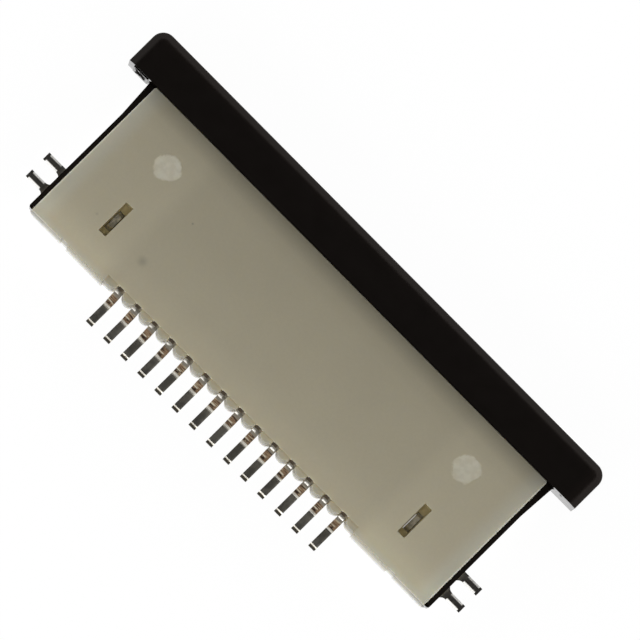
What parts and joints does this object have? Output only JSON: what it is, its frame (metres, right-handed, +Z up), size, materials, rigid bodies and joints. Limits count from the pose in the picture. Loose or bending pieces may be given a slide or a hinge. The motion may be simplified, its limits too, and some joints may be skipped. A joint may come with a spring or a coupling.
{
  "type": "flat cable connector",
  "caption": "Right-angle surface-mount connector for flat flexible cable, with a black slide lock, gull-wing contacts at 1.0 mm pitch and a pronged metal hold-down at each end.",
  "frame": {"origin": "centre of the housing's underside, on the board plane", "axes": "+X along the row of contacts, +Y towards the slider and the cable entry, +Z up from the board"},
  "size_m": [0.026, 0.0107, 0.0027],
  "materials": {
    "nylon": "natural, slightly translucent moulded nylon",
    "slider": "black moulded plastic, satin",
    "contact": "tin-plated phosphor bronze, bare copper colour on the sheared edges",
    "hold_down": "tin-plated brass, dull grey"
  },
  "bodies": {
    "housing_body": {"housing": "nylon", "hold_down_left": "hold_down", "hold_down_right": "hold_down", "contact_01": "contact", "contact_02": "contact", "contact_03": "contact", "contact_04": "contact", "contact_05": "contact", "contact_06": "contact", "contact_07": "contact", "contact_08": "contact", "contact_09": "contact", "contact_10": "contact", "contact_11": "contact", "contact_12": "contact", "contact_13": "contact", "contact_14": "contact"},
    "slider_body": {"slider": "slider"}
  },
  "joints": [
    {"name": "slider_slide", "type": "slide", "parent": "housing_body", "child": "slider_body", "axis": [0, 1, 0], "range_m": [0, 0.0015]}
  ]
}
